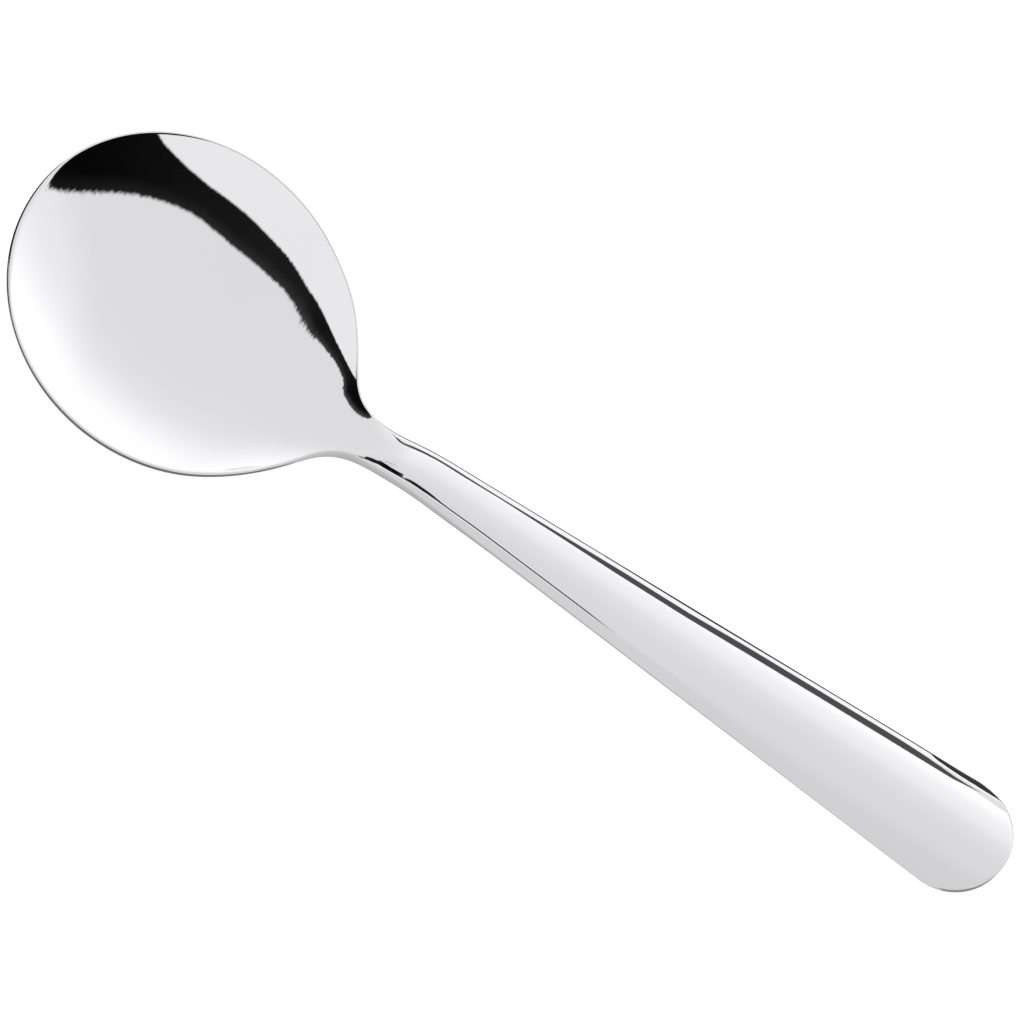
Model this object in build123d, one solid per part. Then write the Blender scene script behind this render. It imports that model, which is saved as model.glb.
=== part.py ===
from build123d import *
import math
import os

# Soup spoon pressed from one flat steel blank, lying on a table as it rests by itself.
# X runs from the tip of the bowl to the end of the handle, Y runs across, Z is up.
# Stations along the spoon are counted from the tip, and the finished spoon is moved
# so that the origin lies on the table under the middle of its box.

# Outline seen from above, in millimetres.
LENGTH = 150.0
BOWL_WIDTH = 44.0
BOWL_FRONT = 22.8  # tip to the widest place
BOWL_BACK = 23.7  # widest place to the back of the bowl's oval
NECK_ROUNDING = 10.3  # the neck curve leaves the oval this far before its back
NECK_LENGTH = 9.2  # back of the oval to the narrowest place
NECK_WIDTH = 5.7
NECK_BOWL_PULL = 15.2  # how far the neck curve keeps the oval's direction
NECK_HANDLE_PULL = 11.0  # how far it keeps the handle's direction
HANDLE_END_WIDTH = 16.0

# Side view, in millimetres and degrees.
BOWL_DEPTH = 7.3
BOWL_WALL = 1.2
RIM_TILT = 8.4  # the tip of the rim stands higher than its back
NECK_RISE = 15.0  # angle at which the neck climbs out of the bowl
CREST_HEIGHT = 6.65  # top of the handle's root above the table
CREST_DISTANCE = 13.5  # back of the oval to that top
NECK_THICKNESS = 2.6
HANDLE_THICKNESS = 2.0
END_THICKNESS = 2.1

# Across the neck and the handle.
NECK_HOLLOW_RADIUS = 12.0  # the bowl's hollow tightens towards this at the neck
CROWN_ANGLE = 19.0  # slope of the crowned face where it meets the handle's edge
BACK_HOLLOW_RADIUS = 300.0
BEVEL_WIDTH = 1.05
BEVEL_ANGLE = 40.0
EDGE_RADIUS = 0.2

# Distances before and after the back of the oval over which one form flows into the next.
FLOOR_FLOW = (-12.2, 3.0)  # the bowl's floor into the neck
HOLLOW_FLOW = (-12.3, 11.5)  # the wide dish into the narrow hollow
CROSS_FLOW = (3.9, 10.6)  # that hollow into the crown
THICK_FLOW = (-6.0, 8.0)  # the bowl's wall into the thick neck
THIN_FLOW = (11.5, 31.5)  # the thick neck into the handle
BEVEL_FLOW = (3.0, 16.0)  # the plain edge into the full bevel
BEVEL_RUNOUT = (48.0, 65.0)  # the full bevel into the plain edge again
CREST_ROUNDING = 1.6

# The dies and the bevel cutter stand past the outline by this much.
DIE_MARGIN = 3.0
CUTTER_MARGIN = 1.0
STATION_STEP = 2.0

half_bowl = BOWL_WIDTH / 2
bowl_end = BOWL_FRONT + BOWL_BACK
neck_start = bowl_end - NECK_ROUNDING
neck_end = bowl_end + NECK_LENGTH
crest = bowl_end + CREST_DISTANCE
end_radius = HANDLE_END_WIDTH / 2
end_centre = LENGTH - end_radius
# The handle's straight side runs on into its round end without a corner.
half_neck = NECK_WIDTH / 2
side_length = end_centre - neck_end
side_angle = math.asin(end_radius / math.hypot(half_neck, side_length)) - math.atan2(half_neck, side_length)
handle_taper = math.tan(side_angle)
dish_curve = 2 * BOWL_DEPTH / half_bowl**2
rim_slope = math.tan(math.radians(RIM_TILT))
neck_slope = math.tan(math.radians(NECK_RISE))
crown_slope = math.tan(math.radians(CROWN_ANGLE))
bevel_slope = math.tan(math.radians(BEVEL_ANGLE))
# The tilted bowl touches the table a little behind its middle.
rim_height = BOWL_WALL + BOWL_DEPTH + (rim_slope * BOWL_BACK) ** 2 / (4 * BOWL_DEPTH)


def flow(x, reach):
    """Goes smoothly from 0 to 1 between two distances from the back of the oval."""
    start, end = reach
    share = min(max((x - bowl_end - start) / (end - start), 0.0), 1.0)
    return share**3 * (6 * share**2 - 15 * share + 10)


def soft_min(a, b, rounding):
    """The lower of two heights, rounded where they cross."""
    near = max(rounding - abs(a - b), 0.0) / rounding
    return min(a, b) - near**3 * rounding / 6


def oval_share(x):
    """Place along the bowl's oval: -1 at the tip, 0 at the widest place, 1 at the back."""
    return (x - BOWL_FRONT) / (BOWL_FRONT if x < BOWL_FRONT else BOWL_BACK)


def bowl_half_width(x):
    return half_bowl * math.sqrt(max(1 - oval_share(x) ** 2, 0.0))


def handle_half_width(x):
    return half_neck + handle_taper * (x - neck_end)


def neck_curve():
    """The curve that leads from the bowl's oval into the handle's straight side."""
    share = oval_share(neck_start)
    leaving = Vector(1, -half_bowl * share / (BOWL_BACK * math.sqrt(1 - share**2))).normalized()
    arriving = Vector(1, handle_taper).normalized()
    start = Vector(neck_start, bowl_half_width(neck_start))
    end = Vector(neck_end, half_neck)
    return Bezier(start, start + leaving * NECK_BOWL_PULL, end - arriving * NECK_HANDLE_PULL, end)


def half_width(x):
    """Half of the outline's width at a station, with the handle's sides carried on past its end."""
    if x <= 0:
        return 0.0
    if x <= neck_start:
        return bowl_half_width(x)
    if x >= neck_end:
        return handle_half_width(x)
    crossing = neck_curve().intersect(Axis((x, 0), (0, 1)))
    return crossing.vertices()[0].Y


def centre_height(x):
    """Height of the upper side along the middle of the spoon."""
    dish = rim_height + rim_slope * (BOWL_FRONT - x) - BOWL_DEPTH * (1 - oval_share(x) ** 2)
    neck = CREST_HEIGHT - neck_slope * (crest - x)
    handle = END_THICKNESS + (CREST_HEIGHT - END_THICKNESS) * (LENGTH - x) / (LENGTH - crest)
    share = flow(x, FLOOR_FLOW)
    return dish * (1 - share) + soft_min(neck, handle, CREST_ROUNDING) * share


def thickness(x):
    """Thickness along the middle: thin in the bowl, thickest at the neck."""
    wall = BOWL_WALL + (NECK_THICKNESS - BOWL_WALL) * flow(x, THICK_FLOW)
    wall += (HANDLE_THICKNESS - NECK_THICKNESS) * flow(x, THIN_FLOW)
    along_handle = max(x - crest, 0.0) / (LENGTH - crest)
    return wall + (END_THICKNESS - HANDLE_THICKNESS) * along_handle


def bend_across(x, handle_bend):
    """How strongly the spoon bends across: dished, hollow at the neck, then as given for the handle."""
    hollow = dish_curve + (1 / NECK_HOLLOW_RADIUS - dish_curve) * flow(x, HOLLOW_FLOW)
    share = flow(x, CROSS_FLOW)
    return hollow * (1 - share) + handle_bend * share


def crown(x):
    """Bend of the handle's face, stronger where it is narrow, so that its edges slope alike."""
    return -crown_slope / handle_half_width(min(max(x, neck_end), end_centre))


def top_height(x, y):
    return centre_height(x) + bend_across(x, crown(x)) * y**2 / 2


def back_height(x, y):
    return centre_height(x) - thickness(x) + bend_across(x, -1 / BACK_HOLLOW_RADIUS) * y**2 / 2


def stations(start, end):
    """Evenly spaced places along the spoon, about one station step apart."""
    count = math.ceil((end - start) / STATION_STEP)
    return [start + (end - start) * step / count for step in range(count + 1)]


def outline():
    """The blank: an oval bowl, a drawn-in neck and a tapered handle with a round end."""
    leaves_oval = math.degrees(math.acos(oval_share(neck_start)))
    meets_end = 90 + math.degrees(side_angle)
    with BuildSketch() as blank:
        with BuildLine():
            EllipticalCenterArc((BOWL_FRONT, 0), BOWL_FRONT, half_bowl, start_angle=90, arc_size=180)
            oval_back = EllipticalCenterArc(
                (BOWL_FRONT, 0), BOWL_BACK, half_bowl, start_angle=90, arc_size=leaves_oval - 90
            )
            neck = add(neck_curve())
            round_end = CenterArc((end_centre, 0), end_radius, -meets_end, 2 * meets_end)
            side = Line((neck_end, half_neck), round_end @ 1)
            mirror([oval_back, neck, side], about=Plane.XZ)
        make_face()
    return blank.sketch


def die(height):
    """Pressing surface drawn smoothly through a parabola at each station, wider than the blank."""
    curves = []
    for x in stations(-DIE_MARGIN, LENGTH + DIE_MARGIN):
        ahead = min(x + STATION_STEP, end_centre)
        reach = max(half_width(x), half_width(ahead)) + DIE_MARGIN
        side = height(x, reach)
        pull = 2 * height(x, 0) - side
        curves.append(Wire(Bezier((x, -reach, side), (x, 0, pull), (x, reach, side))))
    return Shell.make_loft(curves)


def bevel_section(x):
    """Cross section of the cutter that bevels the handle's upper edge, clear of it at both ends."""
    edge = half_width(x)
    share = flow(x, BEVEL_FLOW) - flow(x, BEVEL_RUNOUT)
    width = (BEVEL_WIDTH + CUTTER_MARGIN) * share - CUTTER_MARGIN
    arris = edge - width
    inner = arris - CUTTER_MARGIN
    outer = max(edge, arris) + CUTTER_MARGIN
    high = top_height(x, arris) + CUTTER_MARGIN * bevel_slope
    low = top_height(x, arris) - (outer - arris) * bevel_slope
    with BuildSketch(Plane.YZ.offset(x)) as cut:
        with BuildLine():
            Polyline((inner, high), (outer, low), (outer, high), close=True)
        make_face()
    return cut.sketch


def make_spoon():
    """Blanked, pressed between two dies, rounded at its edges and bevelled along the handle."""
    blank = extrude(outline(), amount=LENGTH / 2, both=True)
    below_top = split(blank, bisect_by=die(top_height), keep=Keep.BOTH).solids().sort_by(Axis.Z)[0]
    pressed = split(below_top, bisect_by=die(back_height), keep=Keep.BOTH).solids().sort_by(Axis.Z)[-1]
    rounded = pressed.fillet(EDGE_RADIUS, pressed.edges().filter_by(GeomType.LINE, reverse=True))
    bevel_reach = stations(bowl_end + BEVEL_FLOW[0], bowl_end + BEVEL_RUNOUT[1])
    bevel = loft([bevel_section(x) for x in bevel_reach])
    return rounded - bevel - mirror(bevel, about=Plane.XZ)


spoon = Pos(-LENGTH / 2, 0, 0) * make_spoon()
print("spoon volume in cubic millimetres", round(spoon.volume, 1), "faces", len(spoon.faces()))
os.makedirs("parts", exist_ok=True)
export_step(spoon, "parts/spoon.step")
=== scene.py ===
# %% [markdown]
# # A polished soup spoon
# The solid spoon from the construction model is the frame: it gives the place and the size.
# A real spoon is one pressed sheet of steel with a mirror polish, and a mirror shows every
# facet of a coarse mesh. So this lesson presses a new, much finer sheet to the same sizes,
# polishes it, and photographs it on a white table.

# %% Load the frame
import bpy
import bmesh
import math
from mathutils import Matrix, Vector


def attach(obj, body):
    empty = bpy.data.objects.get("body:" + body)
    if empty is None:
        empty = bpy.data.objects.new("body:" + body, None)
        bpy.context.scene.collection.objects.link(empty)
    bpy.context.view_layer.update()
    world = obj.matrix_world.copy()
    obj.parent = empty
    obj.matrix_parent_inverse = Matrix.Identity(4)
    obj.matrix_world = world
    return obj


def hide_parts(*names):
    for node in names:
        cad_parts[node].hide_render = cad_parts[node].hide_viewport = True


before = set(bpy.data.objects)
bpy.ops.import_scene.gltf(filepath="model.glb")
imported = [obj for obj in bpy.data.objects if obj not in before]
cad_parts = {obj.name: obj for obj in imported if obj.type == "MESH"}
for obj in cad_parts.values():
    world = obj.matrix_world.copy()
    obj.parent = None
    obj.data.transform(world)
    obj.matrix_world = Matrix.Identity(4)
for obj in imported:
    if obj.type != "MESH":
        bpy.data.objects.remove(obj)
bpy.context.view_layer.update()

# %% [markdown]
# ## The sizes
# They are the sizes of the solid, in metres. Stations along the spoon are counted from the tip
# of the bowl, and the finished sheet is moved back by half its length at the end. The straight
# side of the handle touches the circle of its round end, which gives the taper.

# %% Sizes of the spoon
mm = 0.001
spoon_length = 150.0 * mm
half_bowl = 22.0 * mm
bowl_front = 22.8 * mm
bowl_back = 23.7 * mm
bowl_end = bowl_front + bowl_back
neck_start = bowl_end - 10.3 * mm
neck_end = bowl_end + 9.2 * mm
half_neck = 2.85 * mm
end_radius = 8.0 * mm
end_centre = spoon_length - end_radius
side_length = end_centre - neck_end
to_end_centre = math.hypot(half_neck, side_length)
side_angle = math.asin(end_radius / to_end_centre) - math.atan2(half_neck, side_length)
handle_taper = math.tan(side_angle)
print("bowl ends at", bowl_end, "and the handle tapers by", round(handle_taper, 4))

# %% [markdown]
# ## The outline of the blank
# The bowl is an oval, the handle a straight taper with a round end, and one free curve, a
# Bezier curve as in a drawing program, leads from the oval into the handle's side. A station
# on that curve is found by halving, because the curve runs steadily towards the handle.


# %% Half width of the bowl and of the handle
def oval_share(x):
    return (x - bowl_front) / (bowl_front if x < bowl_front else bowl_back)


def oval_half_width(x):
    return half_bowl * math.sqrt(max(1 - oval_share(x) ** 2, 0))


def handle_half_width(x):
    return half_neck + handle_taper * (x - neck_end)


print("the neck narrows from", round(oval_half_width(neck_start) / mm, 2), "to", half_neck / mm, "mm")

# %% The neck's curve, and the half width at any station
neck_bowl_pull = 15.2 * mm
neck_handle_pull = 11.0 * mm
share = oval_share(neck_start)
leaving = Vector((1, -half_bowl * share / (bowl_back * math.sqrt(1 - share**2)))).normalized()
arriving = Vector((1, handle_taper)).normalized()
neck_from = Vector((neck_start, oval_half_width(neck_start)))
neck_to = Vector((neck_end, half_neck))
neck_pulls = (neck_from + leaving * neck_bowl_pull, neck_to - arriving * neck_handle_pull)


def neck_point(t):
    s = 1 - t
    first, second = neck_pulls
    return neck_from * s**3 + first * 3 * s * s * t + second * 3 * s * t * t + neck_to * t**3


def half_width(x):
    if x <= neck_start:
        return oval_half_width(x)
    if x >= neck_end:
        return handle_half_width(x)
    low, high = 0.0, 1.0
    for _ in range(40):
        middle = (low + high) / 2
        low, high = (middle, high) if neck_point(middle).x < x else (low, middle)
    return neck_point(low).y


print("half width in mm", [round(half_width(x * mm) / mm, 2) for x in (10, 40, 50, 60, 100, 142)])

# %% [markdown]
# ## The form that the dies give
# Along the middle the sheet dips into the bowl, climbs out through the neck and falls along
# the handle to the table. Across, it is dished in the bowl, hollows more tightly towards the
# neck, and is crowned on the handle, as strongly as its edges need to slope alike all the way.
# It could be sculpted by hand, but a mirror would show every dent. So a smooth step blends one
# form into the next, and the reflections run through the neck without a break. The step counts
# its distances in millimetres from the back of the bowl's oval.

# %% Height along the middle
bowl_depth = 7.3 * mm
bowl_wall = 1.2 * mm
rim_slope = math.tan(math.radians(8.4))
neck_slope = math.tan(math.radians(15.0))
crest = bowl_end + 13.5 * mm
crest_height = 6.65 * mm
crest_rounding = 1.6 * mm
end_thickness = 2.1 * mm
rim_height = bowl_wall + bowl_depth + (rim_slope * bowl_back) ** 2 / (4 * bowl_depth)


def flow(x, start, end):
    t = min(max((x - bowl_end - start * mm) / ((end - start) * mm), 0.0), 1.0)
    return t**3 * (6 * t * t - 15 * t + 10)


def soft_min(a, b, rounding):
    near = max(rounding - abs(a - b), 0.0) / rounding
    return min(a, b) - near**3 * rounding / 6


def centre_height(x):
    dish = rim_height + rim_slope * (bowl_front - x) - bowl_depth * (1 - oval_share(x) ** 2)
    neck = crest_height - neck_slope * (crest - x)
    to_end = (spoon_length - x) / (spoon_length - crest)
    handle = end_thickness + (crest_height - end_thickness) * to_end
    share = flow(x, -12.2, 3.0)
    return dish * (1 - share) + soft_min(neck, handle, crest_rounding) * share


print("rim height in mm", round(rim_height / mm, 2), "neck top", round(centre_height(crest) / mm, 2))

# %% Thickness and the bend across
neck_thickness = 2.6 * mm
handle_thickness = 2.0 * mm
neck_hollow_radius = 12.0 * mm
back_hollow_radius = 300.0 * mm
crown_slope = math.tan(math.radians(19.0))
dish_curve = 2 * bowl_depth / half_bowl**2


def thickness(x):
    wall = bowl_wall + (neck_thickness - bowl_wall) * flow(x, -6.0, 8.0)
    wall += (handle_thickness - neck_thickness) * flow(x, 11.5, 31.5)
    along_handle = max(x - crest, 0.0) / (spoon_length - crest)
    return wall + (end_thickness - handle_thickness) * along_handle


def bend_across(x, handle_bend):
    hollow = dish_curve + (1 / neck_hollow_radius - dish_curve) * flow(x, -12.3, 11.5)
    share = flow(x, 3.9, 10.6)
    return hollow * (1 - share) + handle_bend * share


def crowned_height(x, y):
    crown = -crown_slope / handle_half_width(min(max(x, neck_end), end_centre))
    return centre_height(x) + bend_across(x, crown) * y * y / 2


def back_height(x, y):
    return centre_height(x) - thickness(x) + bend_across(x, -1 / back_hollow_radius) * y * y / 2


print("thickness in mm", [round(thickness(x * mm) / mm, 2) for x in (20, 50, 60, 100, 150)])

# %% [markdown]
# ## The ground facets of the handle
# Both upper edges of the handle are ground to a narrow slanting facet, which starts from nothing
# at the neck and runs on to the end. A bevel along the border of a mesh has one width, and this
# one grows. So the facet is a second height, and the lower of the two counts. They meet softly,
# as polished ridges are never sharp.

# %% The facet on the far side
facet_width = 0.95 * mm


def slope_of(degrees):
    return math.tan(math.radians(degrees))


def growth(x, start, length):
    return 1 - math.exp(-max(x - start * mm, 0) / (length * mm))


def facet_slope(x):
    return slope_of(40 - 2 * flow(x, 50.0, 95.0))


def far_height(x, y, crowned):
    broader_at_end = 0.35 * mm * flow(x, 84.0, 96.0)
    ridge = half_width(x) - facet_width * growth(x, 50, 6) - broader_at_end
    facet = crowned_height(x, ridge) - facet_slope(x) * (y - ridge)
    return soft_min(crowned, facet, 0.12 * mm)


print("facet grows to", [round(growth(x * mm, 50, 6), 2) for x in (52, 56, 62, 74)], "of its width")

# %% [markdown]
# On the near side of the neck the polishing wheel has also laid a shoulder, a narrow strip of a
# gentler slope between the crowned face and the facet. It is broad at the neck and soon narrows
# to a line, so its width, its slope and the softness of its two borders change by station.


# %% The near side with its shoulder
def shoulder_width(x):
    narrowing = 0.2 * flow(x, 11.0, 15.0) + 0.25 * flow(x, 15.0, 21.0) + 0.15 * flow(x, 18.0, 34.0)
    return flow(x, 4.8, 7.2) * (0.75 - narrowing) * mm


def shoulder_slope(x):
    return slope_of(20 - 3.3 * flow(x, 8.0, 10.5) + 5.3 * flow(x, 11.0, 15.0))


def near_height(x, y, crowned):
    ridge = half_width(x) - facet_width * growth(x, 52, 14)
    shoulder = ridge - shoulder_width(x)
    level = crowned_height(x, shoulder)
    strip = level - shoulder_slope(x) * (-y - shoulder)
    facet = level - shoulder_slope(x) * (ridge - shoulder) - facet_slope(x) * (-y - ridge)
    strip_softness = (0.08 - 0.05 * flow(x, 11.0, 15.0) + 0.05 * flow(x, 15.0, 22.0)) * mm
    facet_softness = (0.05 + 0.22 * flow(x, 14.0, 26.0)) * mm
    return soft_min(soft_min(crowned, strip, strip_softness), facet, facet_softness)


def upper_height(x, y):
    crowned = crowned_height(x, y)
    if x < bowl_end:
        return crowned
    return far_height(x, y, crowned) if y > 0 else near_height(x, y, crowned)


facet_drop = crowned_height(0.08, 0.0043) - upper_height(0.08, 0.0043)
print("facet drop in mm", round(facet_drop / mm, 2))

# %% [markdown]
# ## The blank
# The real blank is stamped out of flat sheet. Its outline could be filled with triangles, but a
# mirror shows uneven triangles as dents. So the sheet starts as one flat square grid of quads.
# Four more rings of quads are extruded from its border, for the rounding of the rim. Each ring
# is put one step higher, only to tell it apart.

# %% Flat grid with a border of four rings
row_zones = [(56, "tip"), (130, "neck"), (100, "handle"), (36, "end")]
rows = sum(count for count, _ in row_zones)
columns = 80
rings = 4
sheet = bmesh.new()
bmesh.ops.create_grid(sheet, x_segments=rows, y_segments=columns, size=1)
border = [edge for edge in sheet.edges if edge.is_boundary]
for ring in range(rings):
    grown = bmesh.ops.extrude_edge_only(sheet, edges=border)["geom"]
    for vert in (item for item in grown if isinstance(item, bmesh.types.BMVert)):
        vert.co.z = ring + 1
    edges = [item for item in grown if isinstance(item, bmesh.types.BMEdge)]
    border = [edge for edge in edges if edge.is_boundary]
print("flat blank", len(sheet.faces), "quads,", len(border), "of them on the border")

# %% [markdown]
# ## From the square to the outline
# The two ends of the grid are half squares that are pushed into half discs, which keeps the
# quads even without a pole, and the rows between are straight. The outer columns follow the
# facets, so that no quad lies across a ridge. The same rule gives every line that lies a little
# inside the outline.

# %% Where a point of the square lies on the blank
ridge_column = 0.72
ridge_margin = 0.7 * mm
neck_zone_end = bowl_end + 16 * mm
nearby = 0.01 * mm


def across(c, x, edge):
    share = flow(x, -5.0, 12.0)
    band = edge * (1 - ridge_column) * (1 - share) + (facet_width + ridge_margin) * share
    inner = edge - band
    if abs(c) <= ridge_column:
        return c / ridge_column * inner
    return math.copysign(inner + (abs(c) - ridge_column) / (1 - ridge_column) * band, c)


def zone_of(a):
    row = a * rows
    for count, zone in row_zones:
        if row <= count + 1e-6 or zone == "end":
            return zone, row / count
        row -= count


def blank_point(a, c, inset):
    zone, t = zone_of(a)
    if zone in ("neck", "handle"):
        start, end = (bowl_front, neck_zone_end) if zone == "neck" else (neck_zone_end, end_centre)
        x = start + (end - start) * t
        slope = (half_width(x + nearby) - half_width(x - nearby)) / (2 * nearby)
        return x, across(c, x, half_width(x) - inset * math.hypot(1, slope))
    centre, radius, width, u = bowl_front, bowl_front - inset, half_bowl - inset, t - 1
    if zone == "end":
        centre, radius, u = end_centre, end_radius - inset, t
        width = handle_half_width(end_centre) - inset
    v = across(c, centre, width) / width
    return centre + radius * u * math.sqrt(1 - v * v / 2), width * v * math.sqrt(1 - u * u / 2)


widest = blank_point(row_zones[0][0] / rows, 1, 0)[1]
print("tip of the bowl at", blank_point(0, 0, 0)[0], "and widest place", round(widest / mm, 2), "mm")

# %% [markdown]
# ## The rounded rim
# The polishing wheel rounds the rim, and the black and grey lines round the spoon are what this
# narrow rounding reflects. A bevel would crowd at the ends and has one width. The rings can
# drop away on a quarter oval instead, whose breadth and depth change along the spoon: broader
# round the tip, narrow at the neck, and broadest along the handle.


# %% Breadth and depth of the rounding
def at_tip(station, c):
    return (1 - flow(station, -46.0, -40.0)) * (1 - min(max(c / 0.35, 0), 1))


def on_handle(station, c):
    return flow(station, 4.0, 12.0) if c > 0 else flow(station, 14.0, 30.0)


def rim_breadth(station, c):
    narrowing = 0.15 if c < 0 else 0
    breadth = 0.3 + 0.3 * at_tip(station, c) - narrowing * flow(station, -4.0, 4.0)
    breadth += (0.72 - breadth) * on_handle(station, c) - 0.42 * flow(station, 91.0, 98.0)
    return breadth * mm


def rim_depth(station, c):
    depth = 0.35 + 0.3 * at_tip(station, c) - 0.2 * flow(station, -4.0, 4.0)
    return (depth + 0.05 * on_handle(station, c)) * mm


near_breadths = [round(rim_breadth(x * mm, -1) / mm, 2) for x in (0, 25, 50, 100, 150)]
print("breadth of the near rim in mm", near_breadths)

# %% [markdown]
# ## Pressing
# An extruded copy of the grid becomes the back, and the wall between them is the cut edge of
# the sheet. Every point goes to its place on the blank, takes its height from the dies, and
# drops with its ring. Each point also notes whether it lies on the cut edge, which is only
# ground and so stays duller, and which is also painted darker: painted shade, for the spoon's
# shade on the table that the edge reflects.

# %% Press the sheet and round its rim
cut = sheet.verts.layers.float.new("cut_edge")
thick = bmesh.ops.extrude_face_region(sheet, geom=sheet.faces[:])
back_verts = {item for item in thick["geom"] if isinstance(item, bmesh.types.BMVert)}
for vert in sheet.verts:
    turn = math.radians(90) * vert.co.z / rings
    a, c = (vert.co.x + 1) / 2, vert.co.y
    station = blank_point(a, c, 0)[0]
    x, y = blank_point(a, c, rim_breadth(station, c) * (1 - math.sin(turn)))
    drop = rim_depth(station, c) * (1 - math.cos(turn))
    # The note marks the cut edge, which the steel makes rougher and paints darker as painted shade.
    vert[cut] = max(vert.co.z - rings + 1, 0)
    if vert in back_verts:
        z = back_height(x, y) + (0.6 - 0.25 * at_tip(station, c)) * drop
    else:
        z = upper_height(x, y) - drop
        # Less painted shade on the upper cut edge past the bowl.
        vert[cut] *= 1 - 0.7 * flow(x, -6.0, 4.0)
    vert.co = (x - spoon_length / 2, y, z)
bmesh.ops.recalc_face_normals(sheet, faces=sheet.faces[:])
highest = max(vert.co.z for vert in sheet.verts)
print("pressed sheet", len(sheet.faces), "faces, height in mm", round(highest / mm, 2))

# %% Make the spoon an object
spoon_mesh = bpy.data.meshes.new("polished_spoon")
sheet.to_mesh(spoon_mesh)
sheet.free()
for face in spoon_mesh.polygons:
    face.use_smooth = True
spoon = bpy.data.objects.new("polished_spoon", spoon_mesh)
bpy.context.collection.objects.link(spoon)
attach(spoon, "root")
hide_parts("spoon")
print("triangles", sum(len(face.vertices) - 2 for face in spoon_mesh.polygons))

# %% [markdown]
# ## Polished steel
# Stainless steel is a neutral metal, and a faint blue in it is all its colour. One flat grey
# would look computed, so soft clouds of noise vary its tone a little. The cut edge takes a
# darker grey from the note that the pressing left on each point. Part of that grey is the duller
# grind, and part is painted shade: the spoon's shade on the table, as the edge would reflect it.

# %% The tone of the steel
steel = bpy.data.materials.new("polished_steel")
steel.use_nodes = True
nodes, links = steel.node_tree.nodes, steel.node_tree.links
shader = nodes["Principled BSDF"]
shader.inputs["Metallic"].default_value = 1.0
place = nodes.new("ShaderNodeTexCoord")

clouds = nodes.new("ShaderNodeTexNoise")
clouds.inputs["Scale"].default_value = 60.0
clouds.inputs["Detail"].default_value = 3.0
links.new(place.outputs["Object"], clouds.inputs["Vector"])

tone = nodes.new("ShaderNodeValToRGB")
tone.color_ramp.elements[0].position = 0.35
tone.color_ramp.elements[0].color = (0.825, 0.825, 0.842, 1)
tone.color_ramp.elements[1].position = 0.65
tone.color_ramp.elements[1].color = (0.835, 0.835, 0.852, 1)
links.new(clouds.outputs["Fac"], tone.inputs["Fac"])

edge = nodes.new("ShaderNodeAttribute")
edge.attribute_name = "cut_edge"
# Painted shade: this darker grey on the cut edge stands in for the spoon's shade on the table that
# the edge reflects, besides the duller grind.
grind_and_painted_shade = nodes.new("ShaderNodeMix")
grind_and_painted_shade.data_type = "RGBA"
grind_and_painted_shade.inputs[7].default_value = (0.42, 0.42, 0.42, 1)
links.new(edge.outputs["Fac"], grind_and_painted_shade.inputs["Factor"])
links.new(tone.outputs["Color"], grind_and_painted_shade.inputs[6])
links.new(grind_and_painted_shade.outputs[2], shader.inputs["Base Color"])
print("tone of the steel takes", len(nodes), "nodes")

# %% [markdown]
# The polish is nearly perfect and varies with the same clouds. The polishing wheel leaves
# hair-fine lines that are too shallow to see by themselves: they only fray the borders of a
# reflection. Noise that is stretched along the lines gives them as a bump, without a picture.

# %% The gloss and the polishing lines
gloss = nodes.new("ShaderNodeMapRange")
gloss.inputs["To Min"].default_value = 0.01
gloss.inputs["To Max"].default_value = 0.025
links.new(clouds.outputs["Fac"], gloss.inputs["Value"])
dull = nodes.new("ShaderNodeMath")
dull.operation = "MULTIPLY_ADD"
dull.inputs[1].default_value = 0.2
links.new(edge.outputs["Fac"], dull.inputs[0])
links.new(gloss.outputs["Result"], dull.inputs[2])
links.new(dull.outputs["Value"], shader.inputs["Roughness"])

stretch = nodes.new("ShaderNodeMapping")
stretch.inputs["Rotation"].default_value = (0, 0, math.radians(12))
stretch.inputs["Scale"].default_value = (1900, 420, 420)
links.new(place.outputs["Object"], stretch.inputs["Vector"])
hairs = nodes.new("ShaderNodeTexNoise")
hairs.inputs["Scale"].default_value = 1.0
hairs.inputs["Detail"].default_value = 2.0
links.new(stretch.outputs["Vector"], hairs.inputs["Vector"])
bump = nodes.new("ShaderNodeBump")
bump.inputs["Strength"].default_value = 0.015
bump.inputs["Distance"].default_value = 0.0002
links.new(hairs.outputs["Fac"], bump.inputs["Height"])
links.new(bump.outputs["Normal"], shader.inputs["Normal"])
spoon_mesh.materials.append(steel)
print("steel has", len(nodes), "nodes")

# %% [markdown]
# ## The white table
# The spoon lies on a large white sheet. More light would make the sheet white, but would burn
# out the steel. So the sheet itself glows a little, for the camera and in the steel only, and
# keeps the shade under the spoon.

# %% Floor
floor_mesh = bpy.data.meshes.new("white_table")
table = bmesh.new()
bmesh.ops.create_grid(table, x_segments=1, y_segments=1, size=4.0)
table.to_mesh(floor_mesh)
table.free()
floor = bpy.data.objects.new("white_table", floor_mesh)
bpy.context.collection.objects.link(floor)
floor.location.z = -0.0001
print("floor stands", floor.location.z, "below the spoon")

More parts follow.
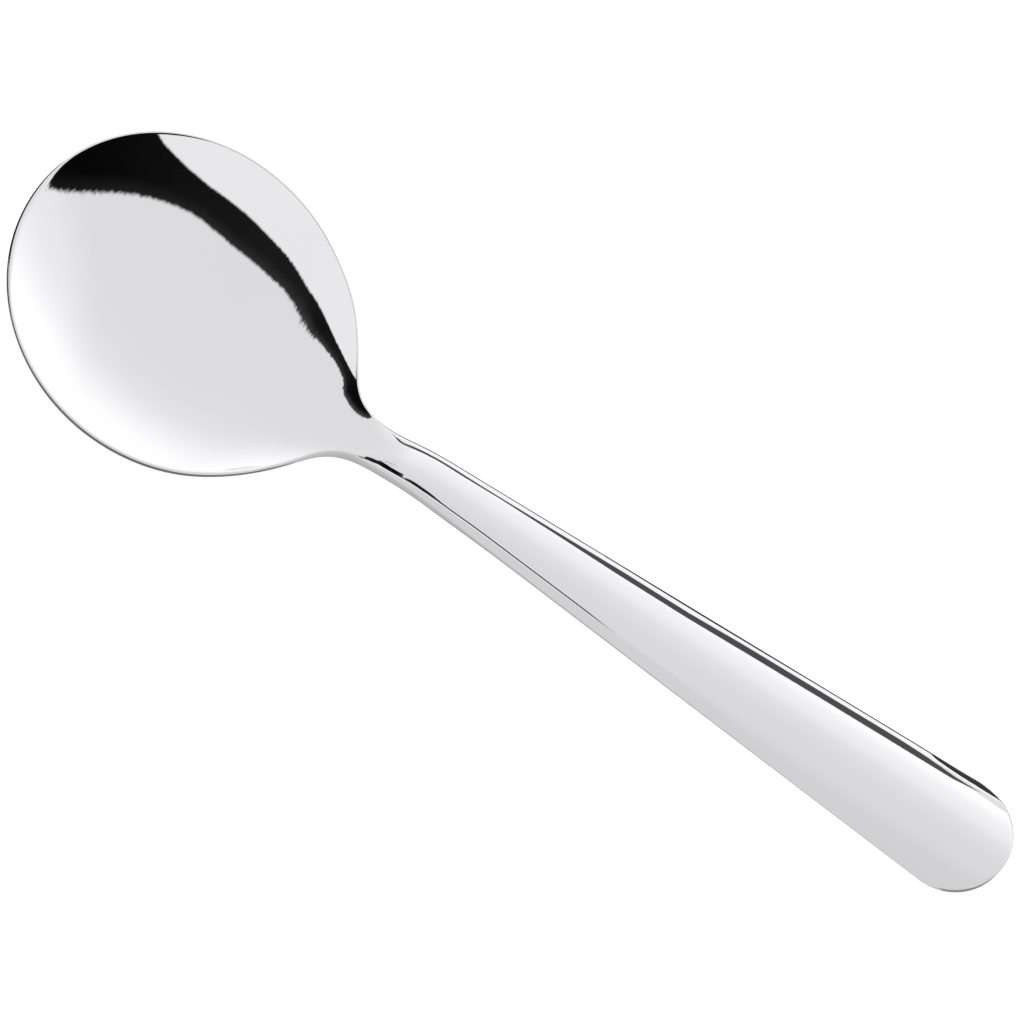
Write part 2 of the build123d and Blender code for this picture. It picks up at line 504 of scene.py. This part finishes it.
# %% White paper
paper = bpy.data.materials.new("white_paper")
paper.use_nodes = True
nodes, links = paper.node_tree.nodes, paper.node_tree.links
matt = nodes["Principled BSDF"]
matt.inputs["Base Color"].default_value = (0.9, 0.9, 0.9, 1)
matt.inputs["Roughness"].default_value = 1.0
matt.inputs["Specular IOR Level"].default_value = 0.0
matt.inputs["Emission Color"].default_value = (1, 1, 1, 1)
ray = nodes.new("ShaderNodeLightPath")
in_steel = nodes.new("ShaderNodeMath")
in_steel.operation = "MULTIPLY"
in_steel.inputs[1].default_value = 0.2
links.new(ray.outputs["Is Glossy Ray"], in_steel.inputs[0])
lift = nodes.new("ShaderNodeMath")
lift.operation = "MULTIPLY_ADD"
lift.inputs[1].default_value = 0.5
links.new(ray.outputs["Is Camera Ray"], lift.inputs[0])
links.new(in_steel.outputs["Value"], lift.inputs[2])
links.new(lift.outputs["Value"], matt.inputs["Emission Strength"])
floor_mesh.materials.append(paper)
print("paper has", len(nodes), "nodes")

# %% [markdown]
# ## The studio
# The steel shows the room: a white tent, and one dark gap in it, through which the camera looks
# in. In the bowl the gap becomes a black crescent. The tent could be built as a mesh, but then
# the border of the gap is hard to place. So the world paints the room by direction. Two angles
# say where one looks: how far from the middle of the tent's rear half, and how far round it.

# %% Two angles for every direction in the room
world = bpy.data.worlds.new("studio")
bpy.context.scene.world = world
world.use_nodes = True
nodes, links = world.node_tree.nodes, world.node_tree.links
nodes.clear()
direction = nodes.new("ShaderNodeTexCoord")


def along(towards):
    dot = nodes.new("ShaderNodeVectorMath")
    dot.operation = "DOT_PRODUCT"
    dot.inputs[1].default_value = Vector(towards).normalized()
    links.new(direction.outputs["Generated"], dot.inputs[0])
    return dot.outputs["Value"]


def maths(operation, first, second=None):
    node = nodes.new("ShaderNodeMath")
    node.operation = operation
    for socket, value in zip(node.inputs, (first, second)):
        if isinstance(value, (int, float)):
            socket.default_value = value
        elif value is not None:
            links.new(value, socket)
    return node.outputs["Value"]


rear = Vector((0.101, 0.625, 0.774)).normalized()
sideways = Vector((0, 0, 1)).cross(rear).normalized()
away = maths("DIVIDE", maths("ARCCOSINE", along(rear)), math.pi / 2)
round_turn = maths("ARCTAN2", along(sideways), along(rear.cross(sideways)))
turned = maths("ADD", maths("DIVIDE", round_turn, 2 * math.pi), 0.5)
print("the tent's rear half faces", [round(part, 3) for part in rear])

# %% [markdown]
# The tent is brightest low on the far side, which whitens the bowl towards its near rim, and a
# little brighter still towards the far right. A ramp of greys by angle is enough for each.


# %% The tent
def ramp(share, stops):
    node = nodes.new("ShaderNodeValToRGB")
    places = sorted(stops)
    elements = node.color_ramp.elements
    elements[0].position, elements[1].position = places[0], places[-1]
    for place in places[1:-1]:
        elements.new(place)
    for element, place in zip(elements, places):
        element.color = (stops[place], stops[place], stops[place], 1)
    links.new(share, node.inputs["Fac"])
    return node.outputs["Color"]


def by_angle(towards, stops):
    angle = maths("DIVIDE", maths("ARCCOSINE", along(towards)), math.pi)
    return ramp(angle, {degrees / 180: grey for degrees, grey in stops.items()})


tent_greys = {
    60: 1.2, 70: 1.2, 75: 1.14, 80: 1.06, 85: 0.985,
    90: 0.93, 95: 0.897, 100: 0.88, 110: 0.868, 145: 0.86,
}
tent = by_angle((0, 0.5, -0.866), tent_greys)
tent = maths("MULTIPLY", tent, by_angle((0.8, 0.6, 0.0), {26: 1.085, 37: 1.0}))
print("the tent goes from", max(tent_greys.values()), "to", min(tent_greys.values()))

# %% [markdown]
# The gap runs round the rear half from one turn to another, and for each turn it has an inner
# and an outer border and two darks: a dusk along the inner border and a deeper dark behind it.
# The angles are in degrees.

# %% Borders and darks of the gap
gap_from = {
    -102: 57, -95: 55.2, -85: 54.5, -75: 54.7, -65: 55.6, -45: 57, -35: 57.2, -15: 55.3,
    15: 55.4, 20: 54.8, 24: 53, 27: 48.5, 29: 46.6, 35: 46.4, 46: 46, 52: 50,
}
gap_to = {
    -102: 56, -95: 60.2, -85: 64, -75: 67.5, -58: 73, -54: 71, -46: 69, -35: 67.5, -17: 66.9,
    5: 64.8, 13: 63.3, 20: 61.8, 25: 61.8, 28.5: 62.4, 31.5: 60.4, 34.5: 58.8, 38: 57, 46: 54,
    52: 47,
}
gap_dark = {-80: 0.002, -45: 0.006, 0: 0.012, 22: 0.012, 29: 0.004, 40: 0.004}
gap_dusk = {-90: 0.012, -40: 0.02, 0: 0.035, 20: 0.035, 30: 0.07}


def by_turn(stops, unit):
    return ramp(turned, {(turn + 180) / 360: value / unit for turn, value in stops.items()})


starts, ends = by_turn(gap_from, 90), by_turn(gap_to, 90)
print("the gap is followed over", max(gap_from) - min(gap_from), "degrees")

# %% [markdown]
# In the bowl the inner border of the crescent is frayed, as the polishing lines draw it out. A
# noise that depends on the turn alone shifts that border back and forth. Beyond the gap the wall
# of the tent goes on, and low on the left the room is dark, for the rim of the bowl's tip.


# %% The frayed gap in the tent
def beyond(limit, softness):
    step = nodes.new("ShaderNodeMapRange")
    step.interpolation_type = "SMOOTHSTEP"
    step.inputs["From Max"].default_value = softness / 90
    links.new(maths("SUBTRACT", away, limit), step.inputs["Value"])
    return step.outputs["Result"]


def blend(share, first, second):
    mix = nodes.new("ShaderNodeMix")
    mix.data_type = "FLOAT"
    links.new(share, mix.inputs[0])
    for socket, value in ((mix.inputs[2], first), (mix.inputs[3], second)):
        if isinstance(value, float):
            socket.default_value = value
        else:
            links.new(value, socket)
    return mix.outputs[0]


fringe = nodes.new("ShaderNodeTexNoise")
fringe.noise_dimensions = "1D"
fringe.inputs["Scale"].default_value = 130.0
fringe.inputs["Detail"].default_value = 3.0
links.new(turned, fringe.inputs["W"])
frayed = maths("MULTIPLY", maths("SUBTRACT", fringe.outputs["Fac"], 0.5), 1.0 / 90)
starts = maths("ADD", starts, frayed)
dusk = blend(beyond(starts, 1.5), tent, by_turn(gap_dusk, 1))
gap = blend(beyond(starts, 6.0), dusk, by_turn(gap_dark, 1))
walls = blend(beyond(maths("MAXIMUM", starts, ends), 1.0), gap, 0.97)
walls = blend(by_angle((-1, 0, 0.1), {26: 1, 34: 0}), walls, 0.02)
print("walls of the room take", len(nodes), "nodes")

# %% [markdown]
# Only the steel sees this room. For the camera, and as the light on the table, the world is
# plain white, so the picture keeps a white ground and an even light.

# %% The room for the steel, plain white for the rest
room = nodes.new("ShaderNodeBackground")
links.new(walls, room.inputs["Strength"])
room.inputs["Color"].default_value = (1, 1, 1, 1)
white = nodes.new("ShaderNodeBackground")
white.inputs["Color"].default_value = (1, 1, 1, 1)
ray = nodes.new("ShaderNodeLightPath")
view = nodes.new("ShaderNodeMixShader")
links.new(ray.outputs["Is Glossy Ray"], view.inputs["Fac"])
links.new(white.outputs["Background"], view.inputs[1])
links.new(room.outputs["Background"], view.inputs[2])
out = nodes.new("ShaderNodeOutputWorld")
links.new(view.outputs["Shader"], out.inputs["Surface"])
print("room has", len(nodes), "nodes")

# %% [markdown]
# ## The cards
# As in a real studio, cards near the spoon draw its fine lines. A dark strip stands beyond the
# handle, for the dark band along its far side, and another before the tip, for the black line
# at the rim there. A grey card stands on the near side, for the facet. Only the steel sees the
# cards: they give no light, cast no shade and stay out of the picture. They could be lamps, but
# a lamp can't be darker than the room. Corners are in millimetres.


# %% The standing cards
def hang_card(name, corners):
    card_mesh = bpy.data.meshes.new(name)
    flat = bmesh.new()
    flat.faces.new([flat.verts.new(Vector(corner) * mm) for corner in corners])
    flat.to_mesh(card_mesh)
    flat.free()
    card = bpy.data.objects.new(name, card_mesh)
    bpy.context.collection.objects.link(card)
    card.visible_camera = card.visible_diffuse = card.visible_shadow = False
    surface = bpy.data.materials.new(name)
    surface.use_nodes = True
    surface.node_tree.nodes.clear()
    card_mesh.materials.append(surface)
    return surface.node_tree.nodes, surface.node_tree.links


def plain_card(name, corners, grey):
    nodes, links = hang_card(name, corners)
    glow = nodes.new("ShaderNodeEmission")
    glow.inputs["Strength"].default_value = grey
    out = nodes.new("ShaderNodeOutputMaterial")
    links.new(glow.outputs["Emission"], out.inputs["Surface"])
    print(name, "has", len(corners), "corners and the grey", grey)


far_top = [
    (-26, 17.2), (-17, 17.7), (-9, 17.5), (-3, 16.25), (5, 15.75), (15, 15.4),
    (25, 14.35), (35, 12.55), (45, 11.05), (55, 9.8), (65, 8.6), (69, 7.25),
]
far_bottom = [
    (69, 7.2), (65, 7.55), (60, 7.1), (55, 6.9), (45, 8), (35, 9), (25, 11.7),
    (15, 11.9), (5, 13.3), (-3, 14.3), (-14, 13.8), (-19, 14.3), (-22, 15.1), (-26, 15.8),
]
near_side = [(-28, -14, 0.2), (85, -14, 0.2), (85, -14, 20), (-28, -14, 20)]
tip_side = [(-82, -10, 0.2), (-82, 13, 0.2), (-82, 13, 26), (-82, -10, 26)]
plain_card("far_dark_strip", [(x, 14, z) for x, z in far_top + far_bottom], 0.085)
plain_card("near_grey_card", near_side, 0.76)
plain_card("tip_dark_strip", tip_side, 0.02)

# %% [markdown]
# More cards lie on the table round the spoon. The rounded rim and the cut edge look down at
# them, and take their greys: dark along the far side and before the tip, pale on the near side.
# The strips by the neck and along the far side, and the cards on the near side and by the bowl,
# are painted shade: they stand in for the spoon's shade on the table, as the steel reflects it.


# %% The cards on the table
def table_card(name, corners, grey):
    plain_card(name, [(x, y, 0.15) for x, y in corners], grey)


def oblong(left, near, right, far):
    return [(left, near), (right, near), (right, far), (left, far)]


neck_table = [(-40, 12), (-22, 9), (11, 9), (11, 14.5), (-22, 16), (-40, 20)]
far_table = [
    (11, 9), (64, 8.7), (66, 8.5), (90, 8), (90, 40),
    (69, 40), (60, 11), (45, 12.3), (25, 16), (11, 15),
]
# Painted shade: the neck and far strips and the near and bowl cards stand in for the spoon's shade on
# the table, as the steel reflects it.
table_card("neck_painted_shade_strip", neck_table, 0.12)
table_card("far_painted_shade_strip", far_table, 0.045)
table_card("end_table_card", oblong(70, -30, 110, 8), 0.4)
table_card("near_painted_shade_card", oblong(-28, -30, 70, 0), 0.75)
table_card("bowl_painted_shade_card", oblong(-76, -60, -28, 0), 0.3)
table_card("tip_table_card", oblong(-140, -40, -76, 25), 0.02)

# %% [markdown]
# A graded card hangs low over the handle and gives its face a soft gradient from grey to white.
# The greys run across it and a little askew, so that the bright half of the handle narrows
# towards the end. Its bowl end fades out, which keeps its border out of the neck.

# %% The graded card and its greys
card_height = 20
card_outline = [
    (-40, -3.6), (-26, -3.7), (-22, -3.9), (-18, -5), (-8, -4.8),
    (12, -6.2), (21, -14), (130, -16), (130, 30), (-40, 30),
]
card_greys = {
    -20: 0.765, -12: 0.77, -9: 0.81, -7: 0.832, -3: 0.834, 0: 0.857, 3: 0.891, 4.5: 0.9,
    6: 0.945, 8: 0.993, 10: 1.027, 13: 1.06, 15: 1.085, 17: 1.16, 20: 1.2,
}
nodes, links = hang_card("graded_card", [(x, y, card_height) for x, y in card_outline])
place = nodes.new("ShaderNodeTexCoord")
split = nodes.new("ShaderNodeSeparateXYZ")
links.new(place.outputs["Object"], split.inputs[0])
askew = maths("SUBTRACT", split.outputs["Y"], maths("MULTIPLY", split.outputs["X"], 0.09))
width = maths("DIVIDE", maths("ADD", askew, 20 * mm), 40 * mm)
glow = nodes.new("ShaderNodeEmission")
greys = ramp(width, {(side + 20) / 40: grey for side, grey in card_greys.items()})
links.new(greys, glow.inputs["Color"])
print("graded card goes from", min(card_greys.values()), "to", max(card_greys.values()))

# %% The graded card's fading end
fade = nodes.new("ShaderNodeMapRange")
fade.interpolation_type = "SMOOTHSTEP"
fade.inputs["From Min"].default_value = -31 * mm
fade.inputs["From Max"].default_value = -21 * mm
later_on_near_side = maths("MULTIPLY", maths("MINIMUM", split.outputs["Y"], 0), 1.2)
links.new(maths("SUBTRACT", split.outputs["X"], later_on_near_side), fade.inputs["Value"])
clear = nodes.new("ShaderNodeBsdfTransparent")
mix = nodes.new("ShaderNodeMixShader")
links.new(fade.outputs["Result"], mix.inputs["Fac"])
links.new(clear.outputs["BSDF"], mix.inputs[1])
links.new(glow.outputs["Emission"], mix.inputs[2])
out = nodes.new("ShaderNodeOutputMaterial")
links.new(mix.outputs["Shader"], out.inputs["Surface"])
print("graded card has", len(nodes), "nodes")

# %% [markdown]
# ## The camera
# A long lens stands high above the near side of the spoon, with the picture turned so that the
# handle runs down to the right. A short lens would swell the bowl, and the outline of the spoon
# shows that the picture was taken from far off.

# %% Camera
camera_data = bpy.data.cameras.new("camera")
camera_data.sensor_width = 36.0
camera_data.lens = 331.97
camera_data.clip_start = 0.05
camera_data.clip_end = 20.0
camera = bpy.data.objects.new("camera", camera_data)
bpy.context.collection.objects.link(camera)
camera.location = (-0.021489, -0.47184, 1.107864)
camera.rotation_euler = [math.radians(turn) for turn in (19.38437, -13.13581, 30.53267)]
bpy.context.scene.camera = camera
print("camera at", list(camera.location))

# %% [markdown]
# ## The view
# The view settings stay plain.

# %% Finish
bpy.context.scene.view_settings.view_transform = "Standard"
